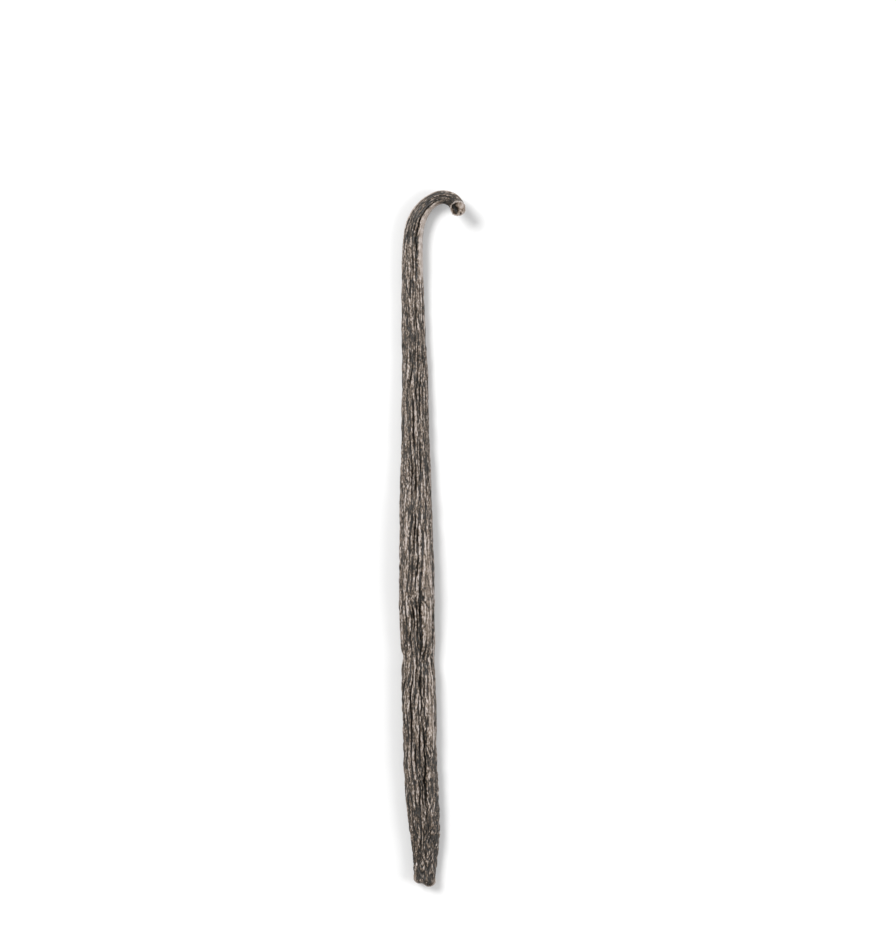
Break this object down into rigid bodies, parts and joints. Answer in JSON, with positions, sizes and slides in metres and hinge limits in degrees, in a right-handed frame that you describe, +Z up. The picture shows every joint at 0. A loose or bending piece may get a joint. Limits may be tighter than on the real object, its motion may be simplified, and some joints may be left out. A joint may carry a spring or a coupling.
{
  "type": "vanilla pod",
  "caption": "Cured vanilla pod lying flat: a long, flattened, furrowed bean pod with a thin hooked stem end and a blunt blossom end.",
  "frame": {"origin": "centre of the pod's footprint box, on the surface that the pod lies on", "axes": "+Y along the pod towards its hooked stem end, +X to the right seen from above with the hook at the top, +Z up"},
  "size_m": [0.0147, 0.1542, 0.0076],
  "materials": {
    "skin": "dark grey-brown, waxy and finely wrinkled, with a slight oily sheen on the ridges"
  },
  "bodies": {
    "root": {"pod": "skin"}
  },
  "joints": []
}
